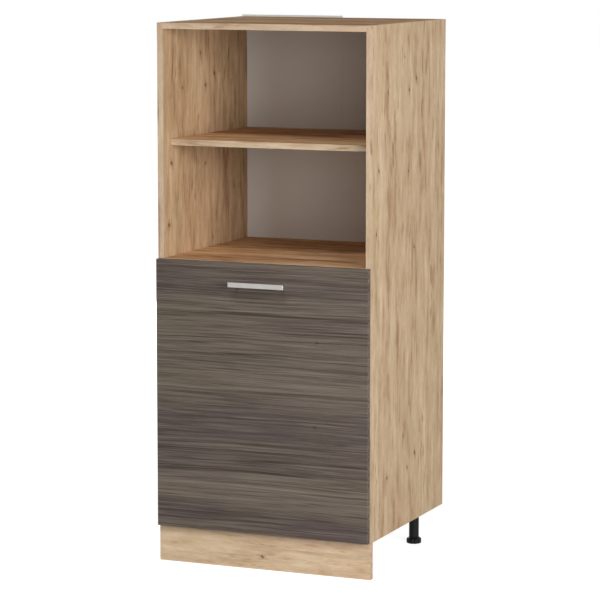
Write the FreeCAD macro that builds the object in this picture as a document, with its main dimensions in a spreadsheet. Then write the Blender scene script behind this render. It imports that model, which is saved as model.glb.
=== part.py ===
"""Oven housing cabinet: a half-tall kitchen unit on legs with an open niche above a cupboard.

Millimetres, +Z up, front towards -Y, origin on the floor under the middle of the whole object.
The Sizes sheet holds what can be set, the Places sheet what follows from it.
"""
import FreeCAD, Part
import math
import os
import re
import Sketcher

Vector = FreeCAD.Vector
Rotation = FreeCAD.Rotation
AXIS_X = Vector(1, 0, 0)
AXIS_Y = Vector(0, 1, 0)
AXIS_Z = Vector(0, 0, 1)
# Where sketch geometry starts before its dimensions move it
ROUGH_MIDDLE = Vector(30, 30, 0)
ROUGH_REACH = 20
ROUGH_RADIUS = 2

SIZES = [
    ("cabinet_width", 600, "outside width, one kitchen module"),
    ("carcass_depth", 537, "front edge to rear edge of the sides"),
    ("board", 16, "thickness of the carcass boards"),
    ("leg_height", 96, "floor to underside of the carcass"),
    ("cupboard_height", 681, "clear height of the cupboard"),
    ("niche_height", 597, "clear height of the oven niche"),
    ("edge_band", 0.8, "thickness of the edging"),
    ("back_thickness", 3, "hardboard back"),
    ("back_inset", 1, "back stands in from the sides' outer faces"),
    ("back_bottom_inset", 2, "back starts above the carcass underside"),
    ("back_rise", 5, "left half of the back stands above the top"),
    ("back_joint", 0.4, "between the two halves of the back"),
    ("strip_width", 24, "strip over the joint, behind the back"),
    ("strip_thick", 0.8, "strip over the joint"),
    ("door_gap", 2, "door's back face to the carcass front"),
    ("door_thickness", 16, "door board"),
    ("door_side_gap", 2, "door edge in from the cabinet side"),
    ("door_bottom_gap", 2, "door edge above the carcass underside"),
    ("door_top_gap", 1, "door edge below the niche floor's upper face"),
    ("handle_length", 156, "bar, end to end"),
    ("handle_tall", 13, "bar height"),
    ("handle_deep", 7, "bar depth, front to back"),
    ("handle_reach", 34, "bar's front face to the door's front face"),
    ("handle_spacing", 128, "between the handle's fixing screws"),
    ("handle_drop", 53.5, "bar's middle below the door's upper edge"),
    ("handle_round", 1.2, "rounding of the bar's edges"),
    ("post_radius", 4, "handle posts"),
    ("handle_screw_radius", 2, "handle screw thread"),
    ("handle_screw_grip", 8, "thread inside the post"),
    ("handle_head_radius", 4, "handle screw head"),
    ("handle_head_tall", 2.4, "handle screw head"),
    ("handle_crown_radius", 2.4, "flat top of the handle screw head"),
    ("handle_head_rim", 1, "straight rim of the handle screw head"),
    ("bumper_radius", 4.5, "door bumper"),
    ("bumper_thick", 1.7, "door bumper"),
    ("bumper_crown_radius", 3.2, "flat top of the door bumper"),
    ("bumper_rim", 0.9, "straight rim of the door bumper"),
    ("bumper_inset", 9, "bumper's middle from the door's right edge"),
    ("bumper_end", 40, "bumper's middle from the door's ends"),
    ("shelf_setback", 45, "niche shelf's front edge behind the carcass front"),
    ("shelf_height", 292, "niche floor to the niche shelf's underside"),
    ("shelf_side_gap", 1, "play at each end of a shelf"),
    ("shelf_rear_gap", 5, "shelf to the back"),
    ("inner_shelf_setback", 30, "cupboard shelf behind the carcass front"),
    ("inner_shelf_height", 332, "cupboard floor to the cupboard shelf's underside"),
    ("pin_radius", 2.5, "shelf pin peg"),
    ("pin_length", 8, "peg inside the side panel"),
    ("pad_long", 12, "shelf pin pad, out from the side"),
    ("pad_wide", 12, "shelf pin pad, front to back"),
    ("pad_thick", 3, "shelf pin pad"),
    ("pad_heel", 6, "shelf pin pad where it meets the side"),
    ("pin_drop", 3.6, "peg's axis below the shelf"),
    ("pin_inset", 60, "shelf pins from the shelf's front and rear edges"),
    ("cam_radius", 7.4, "cam lock"),
    ("cam_depth", 12.3, "cam lock"),
    ("cam_setback", 34, "cam's middle from the end of the board"),
    ("cam_inset", 125, "cam's middle from the board's front and rear edges"),
    ("cam_slot", 1.6, "width of the cam's cross slot"),
    ("cam_slot_deep", 2.5, "depth of the cam's cross slot"),
    ("cam_slot_long", 10.4, "length of the cam's cross slot"),
    ("bolt_thread_radius", 2.5, "cam bolt thread"),
    ("bolt_thread", 10.5, "cam bolt thread inside the side panel"),
    ("bolt_shaft_radius", 3.5, "cam bolt shaft"),
    ("bolt_neck_radius", 1.9, "cam bolt neck"),
    ("bolt_head", 3, "length of the cam bolt's head"),
    ("bolt_neck", 4.5, "length of the cam bolt's neck"),
    ("dowel_radius", 4, "wooden dowel"),
    ("dowel_side", 11, "dowel inside the side panel"),
    ("dowel_end", 19, "dowel inside the fixed board"),
    ("dowel_offset", 32, "dowel from its cam bolt"),
    ("dowel_chamfer", 1, "chamfer at the dowel's ends"),
    ("fit_play", 0.05, "radial play of pegs, screws, pins and dowels in their holes"),
    ("tip_play", 0.5, "free depth beyond the tip of a fastener"),
    ("nail_radius", 0.8, "back nail"),
    ("nail_length", 18, "back nail"),
    ("nail_head_radius", 2, "back nail head"),
    ("nail_head_tall", 0.6, "back nail head"),
    ("nail_point", 1.6, "length of the nail's point"),
    ("nail_inset", 60, "first and last nail along a side"),
    ("nail_spread", 95, "nails along a fixed board, from the middle"),
    ("screw_radius", 1.6, "wood screw"),
    ("screw_length", 14, "wood screw below its head"),
    ("screw_head_radius", 3.2, "wood screw head"),
    ("screw_head_tall", 1.8, "wood screw head"),
    ("screw_crown_radius", 2.2, "flat top of the wood screw head"),
    ("screw_head_rim", 0.9, "straight rim of the wood screw head"),
    ("screw_point", 3.2, "length of the wood screw's point"),
    ("recess_long", 3.4, "cross recess in a screw head"),
    ("recess_wide", 0.9, "cross recess in a screw head"),
    ("recess_deep", 1.3, "cross recess in a screw head"),
    ("hinge_inset", 100, "hinge's middle from the door's ends"),
    ("cup_radius", 17.4, "hinge cup"),
    ("cup_play", 0.1, "hinge cup in its bore"),
    ("cup_depth", 11.2, "hinge cup"),
    ("cup_wall", 1, "hinge cup sheet"),
    ("cup_inset", 22.5, "cup's middle from the door's hinge edge"),
    ("wing_tall", 62, "hinge cup's wings, end to end"),
    ("wing_wide", 20, "hinge cup's wings"),
    ("wing_screws", 50, "between the cup's two screws"),
    ("cup_pin_inset", 12, "cup pin from the door's hinge edge"),
    ("cup_pin_depth", 3.7, "cup pin below the door's back face"),
    ("arm_pin_out", 23, "arm pin out from the side panel"),
    ("arm_pin_back", 1.6, "arm pin behind the carcass front"),
    ("hinge_pin_radius", 1.5, "hinge pins"),
    ("eye_radius", 3, "link and arm eyes round the pins"),
    ("link_tall", 8, "hinge link, along the pins"),
    ("link_thick", 3.6, "hinge link, across its bend"),
    ("link_bow", 6.5, "how far the link bows out from its chord"),
    ("ear_thick", 2, "arm ears and cup lugs, along the pins"),
    ("ear_play", 0.3, "link to ears and lugs, along the pins"),
    ("eye_clear", 1, "arm's web to the link's eye"),
    ("plate_tall", 50, "hinge plate, along the side"),
    ("plate_wide", 18, "hinge plate, front to back"),
    ("plate_thick", 2.5, "hinge plate"),
    ("plate_setback", 37, "hinge plate's screws behind the carcass front"),
    ("plate_screws", 32, "between the hinge plate's two screws"),
    ("rail_out", 9, "top of the plate's rail, out from the side"),
    ("rail_wide", 10, "rail, along the pins"),
    ("rail_front", 22, "rail's front end behind the carcass front"),
    ("rail_rear", 62, "rail's rear end behind the carcass front"),
    ("arm_thick", 4, "hinge arm over the rail"),
    ("arm_screw_radius", 2, "screw that holds the arm on its rail"),
    ("arm_screw_length", 9, "screw that holds the arm on its rail"),
    ("arm_screw_setback", 55, "that screw behind the carcass front"),
    ("leg_side_inset", 52, "leg's middle from the cabinet side"),
    ("leg_front_inset", 60, "front leg's middle behind the carcass front"),
    ("leg_rear_inset", 82, "rear leg's middle from the sides' rear edge"),
    ("tube_radius", 13.5, "leg tube"),
    ("tube_bottom", 17.4, "leg tube's lower end above the floor"),
    ("socket_radius", 30, "leg socket flange"),
    ("socket_flange", 4, "leg socket flange"),
    ("sleeve_radius", 17, "leg socket sleeve"),
    ("sleeve_length", 11, "leg socket sleeve"),
    ("socket_screws", 23, "socket screws from the leg's axis"),
    ("foot_radius", 20, "foot"),
    ("foot_tall", 14, "foot's rim"),
    ("foot_edge", 1.2, "chamfer under the foot"),
    ("foot_round", 2, "chamfer round the top of the rim"),
    ("foot_shoulder", 17, "foot's shoulder above the floor"),
    ("shoulder_radius", 13, "foot's shoulder"),
    ("stem_radius", 7, "foot's threaded stem"),
    ("stem_top", 50, "stem's upper end above the floor"),
    ("stem_room", 12, "free bore above the stem"),
    ("scallop_radius", 5, "scallops round the foot's rim"),
    ("scallop_centre", 22.6, "scallops from the foot's axis"),
    ("plinth_thickness", 16, "plinth board"),
    ("plinth_floor_gap", 0.5, "plinth above the floor"),
    ("plinth_top_gap", 0.5, "plinth below the carcass"),
    ("clip_wide", 35, "plinth clip's fork"),
    ("clip_tall", 20, "plinth clip's fork"),
    ("clip_low", 36, "fork's underside above the floor"),
    ("clip_base_thick", 3, "clip's base plate"),
    ("clip_base_wide", 30, "clip's base plate"),
    ("clip_base_tall", 44, "clip's base plate"),
    ("clip_screws", 32, "between the clip's two screws"),
    ("clip_stem", 14, "clip's stem between base and fork"),
    ("clip_play", 0.3, "fork round the leg tube"),
    ("clip_wall", 5, "fork in front of the leg tube"),
]

PLACES = [
    ("rear_trim", "max(strip_thick; nail_head_tall)", "what stands behind the back"),
    ("back_reach", "carcass_depth + back_thickness + rear_trim", "carcass front to the rearmost face"),
    ("front_reach", "door_gap + door_thickness + handle_reach", "carcass front to handle front"),
    ("front", "(front_reach - back_reach) / 2", "carcass front plane along Y"),
    ("inner_width", "cabinet_width - 2 * board", "between the sides"),
    ("board_depth", "carcass_depth - edge_band", "boards behind their edging"),
    ("cupboard_floor", "leg_height + board", "bottom panel's upper face"),
    ("niche_floor_under", "cupboard_floor + cupboard_height", "niche floor's underside"),
    ("niche_bottom", "niche_floor_under + board", "niche floor's upper face"),
    ("top_under", "niche_bottom + niche_height", "top panel's underside"),
    ("total_height", "top_under + board", "top of the sides"),
    ("side_height", "total_height - leg_height", "side panels"),
    ("door_bottom", "leg_height + door_bottom_gap", "door's lower edge"),
    ("door_top", "niche_bottom - door_top_gap", "door's upper edge"),
    ("door_height", "door_top - door_bottom", "door with its edging"),
    ("door_width", "cabinet_width - 2 * door_side_gap", "door with its edging"),
    ("door_left", "door_side_gap - cabinet_width / 2", "door's hinge edge"),
    ("door_back", "front - door_gap", "door's back face"),
    ("door_front", "door_back - door_thickness", "door's front face"),
    ("handle_z", "door_top - handle_drop", "handle's middle"),
    ("hinge_low", "door_bottom + hinge_inset", "lower hinge"),
    ("hinge_high", "door_top - hinge_inset", "upper hinge"),
    ("shelf_under", "niche_bottom + shelf_height", "niche shelf's underside"),
    ("inner_shelf_under", "cupboard_floor + inner_shelf_height", "cupboard shelf's underside"),
    ("shelf_width", "inner_width - 2 * shelf_side_gap", "both shelves"),
    ("shelf_back", "carcass_depth - shelf_rear_gap", "shelves' rear edge behind the carcass front"),
    ("cam_front", "cam_inset", "front cam behind the carcass front"),
    ("cam_rear", "carcass_depth - cam_inset", "rear cam behind the carcass front"),
    ("bolt_length", "cam_setback - bolt_neck_radius", "cam bolt beyond the side panel"),
    ("edge_from_side", "door_side_gap - board", "door's hinge edge from the side's inner face"),
    ("cup_pin_x", "edge_from_side + cup_pin_inset", "cup pin from the side's inner face"),
    ("cup_pin_y", "-door_gap - cup_pin_depth", "cup pin from the carcass front"),
    ("cup_x", "edge_from_side + cup_inset", "cup's middle from the side's inner face"),
    ("link_dx", "arm_pin_out - cup_pin_x", "between the link's pins along X"),
    ("link_dy", "arm_pin_back - cup_pin_y", "between the link's pins along Y"),
    ("link_chord", "sqrt(link_dx * link_dx + link_dy * link_dy)", "between the link's pins"),
    ("link_bend", "link_chord * link_chord / (8 * link_bow) + link_bow / 2", "radius of the link's bend"),
    ("ear_near", "link_tall / 2 + ear_play", "ears' inner faces from the hinge's middle"),
    ("ear_far", "ear_near + ear_thick", "ears' outer faces from the hinge's middle"),
    ("plinth_tall", "leg_height - plinth_floor_gap - plinth_top_gap", "plinth board"),
    ("clip_middle", "clip_low + clip_tall / 2", "clip's middle above the floor"),
    ("clip_reach", "leg_front_inset - plinth_thickness", "plinth's back to the leg's axis"),
    ("bolt_bore", "bolt_shaft_radius + fit_play", "bore for a cam bolt in a board"),
    ("screw_hole", "screw_radius + fit_play", "hole for a wood screw"),
    ("nail_hole", "nail_radius + fit_play", "hole for a nail"),
    ("nail_depth", "nail_length - back_thickness + tip_play", "nail hole in a board"),
]

doc = FreeCAD.newDocument("oven_housing_cabinet")
nodes = []
drillings = []


def qualified(words):
    """Turns plain size names in an expression into references to the two sheets."""
    def refer(match):
        name = match.group(0)
        return SHEET_OF[name] + "." + name if name in SHEET_OF else name
    return re.sub(r"[a-z_][a-z_0-9]*", refer, str(words))


def fill_sheet(name, rows, as_formula):
    sheet = doc.addObject("Spreadsheet::Sheet", name)
    for number, (alias, content, meaning) in enumerate(rows, start=1):
        sheet.set(f"A{number}", meaning)
        sheet.set(f"B{number}", "=" + qualified(content) if as_formula else str(content))
        sheet.setAlias(f"B{number}", alias)
    doc.recompute()


SHEET_OF = {alias: "Sizes" for alias, value, meaning in SIZES}
fill_sheet("Sizes", SIZES, False)
SHEET_OF.update({alias: "Places" for alias, words, meaning in PLACES})
fill_sheet("Places", PLACES, True)


def bind(item, path, words):
    item.setExpression(path, qualified(words))


def place(item, x="0", y="0", z="0", rotation=None):
    """Puts an object at a place given in words."""
    if rotation is not None:
        item.Placement = FreeCAD.Placement(Vector(0, 0, 0), rotation)
    for axis, words in zip("xyz", (x, y, z)):
        bind(item, "Placement.Base." + axis, words)
    return item


def keep(item, label):
    """Names a finished sub-part and lists it for writing."""
    item.Label = label
    nodes.append(item)
    return item


def new_body(name):
    return doc.addObject("PartDesign::Body", name)


def new_sketch(body, role, lift="0"):
    """Sketch on one of the body's origin planes, lifted along that plane's normal."""
    plane = next(f for f in body.Origin.OriginFeatures if f.Role == role)
    sketch = body.newObject("Sketcher::SketchObject", "sketch")
    sketch.AttachmentSupport = [(plane, "")]
    sketch.MapMode = "FlatFace"
    if lift != "0":
        bind(sketch, "AttachmentOffset.Base.z", lift)
    return sketch


def tie(sketch, kind, datum, words, *where):
    """Adds a dimension to a sketch and binds it to words."""
    index = sketch.addConstraint(Sketcher.Constraint(kind, *where, datum))
    name = f"size_{index}"
    sketch.renameConstraint(index, name)
    bind(sketch, "Constraints." + name, words)


def tie_point(sketch, piece, end, x, y, rough):
    """Ties one point of a sketch to its origin along both axes."""
    for words, kind, line, datum in ((x, "DistanceX", -2, rough.x), (y, "DistanceY", -1, rough.y)):
        if words == "0":
            sketch.addConstraint(Sketcher.Constraint("PointOnObject", piece, end, line))
        else:
            tie(sketch, kind, datum, words, -1, 1, piece, end)


def draw_outline(sketch, points):
    """Closed outline of straight lines through points given in words."""
    count = len(points)
    steps = [2 * math.pi * i / count for i in range(count)]
    rough = [ROUGH_MIDDLE + Vector(math.cos(step), math.sin(step), 0) * ROUGH_REACH for step in steps]
    for i in range(count):
        sketch.addGeometry(Part.LineSegment(rough[i], rough[(i + 1) % count]))
    for i in range(count):
        sketch.addConstraint(Sketcher.Constraint("Coincident", i, 2, (i + 1) % count, 1))
    for i, (x, y) in enumerate(points):
        tie_point(sketch, i, 1, x, y, rough[i])


def draw_circles(sketch, spots, radius):
    for i, (x, y) in enumerate(spots):
        rough = ROUGH_MIDDLE + AXIS_X * ROUGH_REACH * i
        sketch.addGeometry(Part.Circle(rough, AXIS_Z, ROUGH_RADIUS))
        tie(sketch, "Radius", ROUGH_RADIUS, radius, i)
        tie_point(sketch, i, 3, x, y, rough)


def pad(body, sketch, length, flip=False):
    feature = body.newObject("PartDesign::Pad", "pad")
    feature.Profile = sketch
    feature.Reversed = flip
    bind(feature, "Length", length)
    return feature


def pad_outline(body, role, points, length, lift="0", flip=False):
    sketch = new_sketch(body, role, lift)
    draw_outline(sketch, points)
    return pad(body, sketch, length, flip)


def pad_circle(body, role, spot, radius, length, lift="0", flip=False):
    sketch = new_sketch(body, role, lift)
    draw_circles(sketch, [spot], radius)
    return pad(body, sketch, length, flip)


def box_outline(wide, tall):
    return [("0", "0"), (wide, "0"), (wide, tall), ("0", tall)]


def drill(body, role, spots, radius, depth, lift="0", flip=False):
    """Round holes of one size and depth in one face of a body."""
    sketch = new_sketch(body, role, lift)
    draw_circles(sketch, spots, radius)
    pocket = body.newObject("PartDesign::Pocket", "holes")
    pocket.Profile = sketch
    pocket.Reversed = flip
    bind(pocket, "Length", depth)
    drillings.append(pocket)
    return pocket


def turned(name, outline):
    """Body turned about Z from an outline of radius and height."""
    body = new_body(name)
    sketch = new_sketch(body, "XZ_Plane")
    draw_outline(sketch, outline)
    feature = body.newObject("PartDesign::Revolution", "turn")
    feature.Profile = sketch
    feature.ReferenceAxis = (sketch, ["V_Axis"])
    feature.Angle = 360
    return body


def box(wide, deep, tall, x="0", y="0", z="0"):
    item = doc.addObject("Part::Box", "box")
    for path, words in (("Length", wide), ("Width", deep), ("Height", tall)):
        bind(item, path, words)
    return place(item, x, y, z)


def cylinder(radius, tall, x="0", y="0", z="0", rotation=None):
    item = doc.addObject("Part::Cylinder", "cylinder")
    bind(item, "Radius", radius)
    bind(item, "Height", tall)
    return place(item, x, y, z, rotation)


def fuse(*items):
    item = doc.addObject("Part::MultiFuse", "joined")
    item.Shapes = list(items)
    return item


def cut(base, *tools):
    item = doc.addObject("Part::Cut", "cut")
    item.Base = base
    item.Tool = tools[0] if len(tools) == 1 else fuse(*tools)
    return item


def group(label, items):
    """Several separate solids under one name."""
    item = doc.addObject("Part::Compound", label)
    item.Links = list(items)
    return keep(item, label)


def copy_of(master, x, y, z, rotation=None):
    link = doc.addObject("App::Link", "copy")
    link.LinkedObject = master
    return place(link, x, y, z, rotation)


def copies(label, master, spots):
    """One node of separate copies, each spot with its x, y, z and turn."""
    return group(label, [copy_of(master, *spot) for spot in spots])


# Turns used for left and right, upper and lower copies
TURN_NONE = Rotation(AXIS_Z, 0)
TURN_ABOUT_X = Rotation(AXIS_X, 180)
TURN_ABOUT_Y = Rotation(AXIS_Y, 180)
TURN_ABOUT_Z = Rotation(AXIS_Z, 180)
Z_TO_MINUS_X = Rotation(AXIS_Y, -90)
Z_TO_X = Rotation(AXIS_Y, 90)
Z_TO_Y = Rotation(AXIS_X, -90)
Z_TO_MINUS_Y = Rotation(AXIS_X, 90)

LEFT_FACE = "-inner_width / 2"
RIGHT_FACE = "inner_width / 2"
FIXED_BOARDS = [
    ("bottom_panel", "leg_height", False),
    ("niche_floor", "niche_floor_under", False),
    ("top_panel", "top_under", True),
]
CAM_DEPTHS = ["cam_front", "cam_rear"]
DOWEL_DEPTHS = ["cam_front + dowel_offset", "cam_rear - dowel_offset"]
SIDE_NAILS = 8
NAIL_STEP = f"(side_height - 2 * nail_inset) / {SIDE_NAILS - 1}"
SIDE_NAIL_HEIGHTS = [f"leg_height + nail_inset + {i} * {NAIL_STEP}" for i in range(SIDE_NAILS)]
BOARD_NAIL_PLACES = ["-2 * nail_spread", "-nail_spread", "nail_spread", "2 * nail_spread"]
HINGE_HEIGHTS = ["hinge_low", "hinge_high"]
SHELVES = [
    ("niche_shelf", "shelf_under", "shelf_setback"),
    ("cupboard_shelf", "inner_shelf_under", "inner_shelf_setback"),
]
LEG_SPOTS = {
    "front_left": ("leg_side_inset - cabinet_width / 2", "front + leg_front_inset"),
    "front_right": ("cabinet_width / 2 - leg_side_inset", "front + leg_front_inset"),
    "rear_left": ("leg_side_inset - cabinet_width / 2", "front + carcass_depth - leg_rear_inset"),
    "rear_right": ("cabinet_width / 2 - leg_side_inset", "front + carcass_depth - leg_rear_inset"),
}
SOCKET_SCREW_TURNS = [(1, 1), (1, -1), (-1, 1), (-1, -1)]
SCALLOPS = 10
# Least share of a hole's own volume that it has to cut, as holes may meet other holes or run over a rim
LEAST_CUT = 0.1


def pin_depths(setback):
    """Where a shelf's pins sit behind the carcass front."""
    return [f"{setback} + pin_inset", "shelf_back - pin_inset"]


def side_panel(label, left):
    """Full-height side, drilled for boards, shelves, hinges and back."""
    body = new_body(label)
    pad_outline(body, "YZ_Plane", box_outline("board_depth", "side_height"), "board", flip=left)
    inward = not left

    def on_face(depth, height):
        return (f"{depth} - edge_band", f"{height} - leg_height")

    bolts = [on_face(d, f"{z} + board / 2") for name, z, above in FIXED_BOARDS for d in CAM_DEPTHS]
    drill(body, "YZ_Plane", bolts, "bolt_thread_radius + fit_play", "bolt_thread + tip_play", flip=inward)
    dowels = [on_face(d, f"{z} + board / 2") for name, z, above in FIXED_BOARDS for d in DOWEL_DEPTHS]
    drill(body, "YZ_Plane", dowels, "dowel_radius + fit_play", "dowel_side + tip_play", flip=inward)
    pins = [on_face(d, f"{under} - pin_drop") for name, under, setback in SHELVES
            for d in pin_depths(setback)]
    drill(body, "YZ_Plane", pins, "pin_radius + fit_play", "pin_length + tip_play", flip=inward)
    if left:
        heights = [f"{z} {sign} plate_screws / 2" for z in HINGE_HEIGHTS for sign in "+-"]
        screws = [on_face("plate_setback", z) for z in heights]
        drill(body, "YZ_Plane", screws, "screw_hole", "screw_length - plate_thick + tip_play", flip=inward)
    middle = "-board / 2" if left else "board / 2"
    nails = [(middle, f"{z} - leg_height") for z in SIDE_NAIL_HEIGHTS]
    drill(body, "XZ_Plane", nails, "nail_hole", "nail_depth", lift="-board_depth", flip=True)
    place(body, LEFT_FACE if left else RIGHT_FACE, "front + edge_band", "leg_height")
    return keep(body, label)


def fixed_board(label, under, cams_above):
    """Board between the sides, with cam bores, bolt bores and dowel holes at both ends."""
    body = new_body(label)
    pad_outline(body, "XY_Plane", box_outline("inner_width", "board_depth"), "board")
    ends = ["cam_setback", "inner_width - cam_setback"]
    cams = [(x, f"{d} - edge_band") for x in ends for d in CAM_DEPTHS]
    cam_bore = ("cam_radius + 2 * fit_play", "cam_depth + fit_play")
    drill(body, "XY_Plane", cams, *cam_bore, lift="board" if cams_above else "0", flip=not cams_above)
    for lift, flip in (("0", True), ("inner_width", False)):
        bolts = [(f"{d} - edge_band", "board / 2") for d in CAM_DEPTHS]
        drill(body, "YZ_Plane", bolts, "bolt_bore", "cam_setback", lift, flip)
        dowels = [(f"{d} - edge_band", "board / 2") for d in DOWEL_DEPTHS]
        drill(body, "YZ_Plane", dowels, "dowel_radius + fit_play", "dowel_end + tip_play", lift, flip)
    nails = [(f"inner_width / 2 + {x}", "board / 2") for x in BOARD_NAIL_PLACES]
    drill(body, "XZ_Plane", nails, "nail_hole", "nail_depth", lift="-board_depth", flip=True)
    if label == "bottom_panel":
        screws = [(f"{x} + inner_width / 2", f"{y} - front - edge_band") for x, y in socket_screw_spots()]
        drill(body, "XY_Plane", screws, "screw_hole", "screw_length - socket_flange + tip_play", flip=True)
    place(body, LEFT_FACE, "front + edge_band", under)
    return keep(body, label)


def socket_screw_spots():
    """Four screws round each leg, on the diagonals."""
    reach = "socket_screws / sqrt(2)"
    return [(f"{x} + {a} * {reach}", f"{y} + {b} * {reach}") for x, y in LEG_SPOTS.values()
            for a, b in SOCKET_SCREW_TURNS]


def carcass_edging():
    strips = [box("board", "edge_band", "side_height", x, "front", "leg_height")
              for x in ("-cabinet_width / 2", RIGHT_FACE)]
    strips += [box("inner_width", "edge_band", "board", LEFT_FACE, "front", under)
               for name, under, above in FIXED_BOARDS]
    return group("carcass_edging", strips)


def back_half(label, left):
    """Half of the hardboard back, with its nail holes; the left one rises above the top."""
    body = new_body(label)
    wide = "cabinet_width / 2 - back_inset - back_joint / 2"
    low = "leg_height + back_bottom_inset"
    tall = "side_height - back_bottom_inset" + (" + back_rise" if left else " - back_inset")
    pad_outline(body, "XZ_Plane", box_outline(wide, tall), "back_thickness", flip=True)
    start = "back_inset - cabinet_width / 2" if left else "back_joint / 2"
    spots = [(f"{x} - ({start})", f"{z} - ({low})") for x, z in nail_spots(left)]
    drill(body, "XZ_Plane", spots, "nail_hole", "back_thickness")
    place(body, start, "front + carcass_depth", low)
    return keep(body, label)


def nail_spots(left):
    """X and Z of the nails of one back half."""
    middle = "(cabinet_width - board) / 2"
    spots = [(f"-{middle}" if left else middle, z) for z in SIDE_NAIL_HEIGHTS]
    spread = BOARD_NAIL_PLACES[:2] if left else BOARD_NAIL_PLACES[2:]
    return spots + [(x, f"{under} + board / 2") for name, under, above in FIXED_BOARDS for x in spread]


def back_nails():
    nail = turned("one_nail", [
        ("0", "nail_head_tall"), ("nail_head_radius", "nail_head_tall"), ("nail_head_radius", "0"),
        ("nail_radius", "0"), ("nail_radius", "nail_point - nail_length"), ("0", "-nail_length"),
    ])
    spots = nail_spots(True) + nail_spots(False)
    face = "front + carcass_depth + back_thickness"
    return copies("back_nails", nail, [(x, face, z, Z_TO_Y) for x, z in spots])


def back_joint_strip():
    """Flat strip glued over the joint of the two halves, behind the back."""
    tall = "side_height - back_bottom_inset - back_inset"
    behind = "front + carcass_depth + back_thickness"
    low = "leg_height + back_bottom_inset"
    strip = box("strip_width", "strip_thick", tall, "-strip_width / 2", behind, low)
    return keep(strip, "back_joint_strip")


def cross(long, wide, deep, top):
    """Two crossed bars that cut a driver's recess, down from a height."""
    low = f"{top} - {deep}"
    across = box(long, wide, deep, f"-{long} / 2", f"-{wide} / 2", low)
    along = box(wide, long, deep, f"-{wide} / 2", f"-{long} / 2", low)
    return across, along


def crossed(screw, top):
    """A screw with a cross recess in its head."""
    return cut(screw, *cross("recess_long", "recess_wide", "recess_deep", top))


def cam_locks():
    """Zinc cams, flush with the hidden face of each fixed board."""
    notch = "bolt_bore"
    barrel = cylinder("cam_radius", "cam_depth", z="-cam_depth")
    mouth = box("2 * cam_radius", f"2 * {notch}", f"2 * {notch}", y=f"-{notch}", z=f"-board / 2 - {notch}")
    cam = cut(barrel, mouth, *cross("cam_slot_long", "cam_slot", "cam_slot_deep", "0"))
    spots = []
    for name, under, above in FIXED_BOARDS:
        level = f"{under} + board" if above else under
        turns = (TURN_ABOUT_Z, TURN_NONE) if above else (TURN_ABOUT_Y, TURN_ABOUT_X)
        for x, turn in zip((f"{LEFT_FACE} + cam_setback", f"{RIGHT_FACE} - cam_setback"), turns):
            spots += [(x, f"front + {d}", level, turn) for d in CAM_DEPTHS]
    return copies("cam_locks", cam, spots)


def along_joints(depths):
    """Places of fasteners that run from the sides into the ends of the fixed boards."""
    return [(face, f"front + {d}", f"{under} + board / 2", turn) for name, under, above in FIXED_BOARDS
            for d in depths for face, turn in ((LEFT_FACE, Z_TO_X), (RIGHT_FACE, Z_TO_MINUS_X))]


def cam_bolts():
    neck_end = "bolt_length - bolt_head"
    neck_start = f"{neck_end} - bolt_neck"
    head_radius = "bolt_shaft_radius - fit_play"
    bolt = turned("one_cam_bolt", [
        ("0", "-bolt_thread"), ("bolt_thread_radius", "-bolt_thread"), ("bolt_thread_radius", "0"),
        ("bolt_shaft_radius", "0"), ("bolt_shaft_radius", neck_start), ("bolt_neck_radius", neck_start),
        ("bolt_neck_radius", neck_end), (head_radius, neck_end), (head_radius, "bolt_length"),
        ("0", "bolt_length"),
    ])
    return copies("cam_bolts", bolt, along_joints(CAM_DEPTHS))


def dowels():
    tip = "dowel_radius - dowel_chamfer"
    dowel = turned("one_dowel", [
        ("0", "-dowel_side"), (tip, "-dowel_side"), ("dowel_radius", "dowel_chamfer - dowel_side"),
        ("dowel_radius", "dowel_end - dowel_chamfer"), (tip, "dowel_end"), ("0", "dowel_end"),
    ])
    return copies("dowels", dowel, along_joints(DOWEL_DEPTHS))


def shelf_pins(label, under, setback):
    """Pegs with a flat pad and a gusset under each corner of a shelf."""
    pad_box = box("pad_long", "pad_wide", "pad_thick", y="-pad_wide / 2", z="-pad_thick")
    peg = cylinder("pin_radius", "pin_length + pad_thick", x="-pin_length", z="-pin_drop", rotation=Z_TO_X)
    heel = box("pad_thick", "pad_wide", "pad_heel", y="-pad_wide / 2", z="-pad_heel")
    pin = fuse(pad_box, peg, heel)
    spots = [(face, f"front + {d}", under, turn) for d in pin_depths(setback)
             for face, turn in ((LEFT_FACE, TURN_NONE), (RIGHT_FACE, TURN_ABOUT_Z))]
    return copies(label + "_pins", pin, spots)


def shelf(label, under, setback):
    """Loose shelf that lies on four pins, with its front edging."""
    body = new_body(label)
    deep = f"shelf_back - {setback} - edge_band"
    pad_outline(body, "XY_Plane", box_outline("shelf_width", deep), "board")
    place(body, "-shelf_width / 2", f"front + {setback} + edge_band", under)
    keep(body, label)
    strip = box("shelf_width", "edge_band", "board", "-shelf_width / 2", f"front + {setback}", under)
    return keep(strip, label + "_edging")


def wood_screw():
    """Pan-head wood screw, head above Z 0 and shank below."""
    screw = turned("one_screw", [
        ("0", "screw_head_tall"), ("screw_crown_radius", "screw_head_tall"),
        ("screw_head_radius", "screw_head_rim"), ("screw_head_radius", "0"), ("screw_radius", "0"),
        ("screw_radius", "screw_point - screw_length"), ("0", "-screw_length"),
    ])
    return crossed(screw, "screw_head_tall")


def in_hinges(label, master):
    """Copies of a hinge piece whose own origin is on the side's inner face, in the carcass front plane."""
    return copies(label, master, [(LEFT_FACE, "front", z) for z in HINGE_HEIGHTS])


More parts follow.
